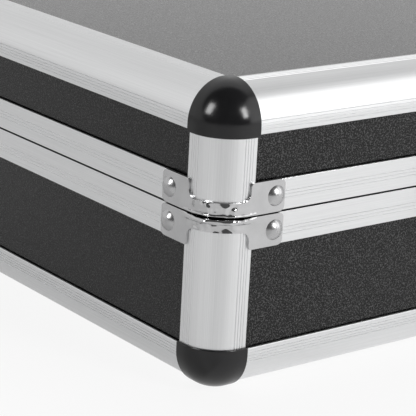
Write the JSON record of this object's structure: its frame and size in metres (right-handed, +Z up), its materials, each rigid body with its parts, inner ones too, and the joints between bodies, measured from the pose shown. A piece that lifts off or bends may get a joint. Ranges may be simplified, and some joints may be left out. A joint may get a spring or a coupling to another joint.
{
  "type": "microphone case",
  "caption": "Low aluminium-framed case with black panels, ball corners, a hinged lid, hasp latches, a drop handle and cut foam that holds microphones.",
  "frame": {"origin": "middle of the bounding box at the level of the surface that the case lies on", "axes": "+X along the long side to the right seen from the front, +Y from the front with the handle to the hinges at the back, +Z up"},
  "size_m": [0.4666, 0.3482, 0.1348],
  "materials": {
    "profile_aluminium": "satin anodised",
    "panel_laminate": "black grained laminate on a wood core",
    "corner_plastic": "glossy black",
    "grip_plastic": "matt black",
    "chrome_steel": "bright nickel plated",
    "steel": "plain steel",
    "foam": "charcoal open-cell foam"
  },
  "bodies": {
    "base": {"base_back_edge": "profile_aluminium", "base_back_panel": "panel_laminate", "base_back_rim": "profile_aluminium", "base_ball_corners": "corner_plastic", "base_bottom_panel": "panel_laminate", "base_corner_plates": "chrome_steel", "base_corner_posts": "profile_aluminium", "base_fitting_rivets": "chrome_steel", "base_foam_insert": "foam", "base_foam_sheet": "foam", "base_front_edge": "profile_aluminium", "base_front_panel": "panel_laminate", "base_front_rim": "profile_aluminium", "base_hinge_leaves": "chrome_steel", "base_left_edge": "profile_aluminium", "base_left_panel": "panel_laminate", "base_left_rim": "profile_aluminium", "base_plate_rivets": "chrome_steel", "base_right_edge": "profile_aluminium", "base_right_panel": "panel_laminate", "base_right_rim": "profile_aluminium", "handle_brackets": "chrome_steel", "handle_pins": "steel", "hinge_pins": "steel", "latch_left_housing": "chrome_steel", "latch_right_housing": "chrome_steel"},
    "lid": {"latch_left_keeper": "chrome_steel", "latch_pins": "steel", "latch_right_keeper": "chrome_steel", "lid_back_edge": "profile_aluminium", "lid_back_panel": "panel_laminate", "lid_back_rim": "profile_aluminium", "lid_ball_corners": "corner_plastic", "lid_corner_plates": "chrome_steel", "lid_corner_posts": "profile_aluminium", "lid_fitting_rivets": "chrome_steel", "lid_foam": "foam", "lid_front_edge": "profile_aluminium", "lid_front_panel": "panel_laminate", "lid_front_rim": "profile_aluminium", "lid_hinge_leaves": "chrome_steel", "lid_left_edge": "profile_aluminium", "lid_left_panel": "panel_laminate", "lid_left_rim": "profile_aluminium", "lid_plate_rivets": "chrome_steel", "lid_right_edge": "profile_aluminium", "lid_right_panel": "panel_laminate", "lid_right_rim": "profile_aluminium", "lid_top_panel": "panel_laminate"},
    "hasp_left": {"latch_left_hasp": "chrome_steel"},
    "hasp_right": {"latch_right_hasp": "chrome_steel"},
    "button_left": {"latch_left_button": "chrome_steel"},
    "button_right": {"latch_right_button": "chrome_steel"},
    "key_left": {"latch_left_key_plug": "steel"},
    "key_right": {"latch_right_key_plug": "steel"},
    "handle": {"handle_grip": "grip_plastic"}
  },
  "joints": [
    {"name": "lid_hinge", "type": "hinge", "parent": "base", "child": "lid", "pos_m": [0, 0.1709, 0.0797], "axis": [-1, 0, 0], "range_deg": [0, 100]},
    {"name": "handle_drop", "type": "hinge", "parent": "base", "child": "handle", "pos_m": [0, -0.1686, 0.0557], "axis": [-1, 0, 0], "range_deg": [0, 95]},
    {"name": "hasp_left_hinge", "type": "hinge", "parent": "lid", "child": "hasp_left", "pos_m": [-0.09, -0.1683, 0.0887], "axis": [-1, 0, 0], "range_deg": [0, 110]},
    {"name": "button_left_slide", "type": "slide", "parent": "base", "child": "button_left", "axis": [-1, 0, 0], "range_m": [0, 0.0025], "stiffness_N_per_m": 150},
    {"name": "key_left_turn", "type": "hinge", "parent": "base", "child": "key_left", "pos_m": [-0.0835, -0.1691, 0.0547], "axis": [0, -1, 0], "range_deg": [0, 90]},
    {"name": "hasp_right_hinge", "type": "hinge", "parent": "lid", "child": "hasp_right", "pos_m": [0.09, -0.1683, 0.0887], "axis": [-1, 0, 0], "range_deg": [0, 110]},
    {"name": "button_right_slide", "type": "slide", "parent": "base", "child": "button_right", "axis": [1, 0, 0], "range_m": [0, 0.0025], "stiffness_N_per_m": 150},
    {"name": "key_right_turn", "type": "hinge", "parent": "base", "child": "key_right", "pos_m": [0.0835, -0.1691, 0.0547], "axis": [0, -1, 0], "range_deg": [0, 90]}
  ]
}
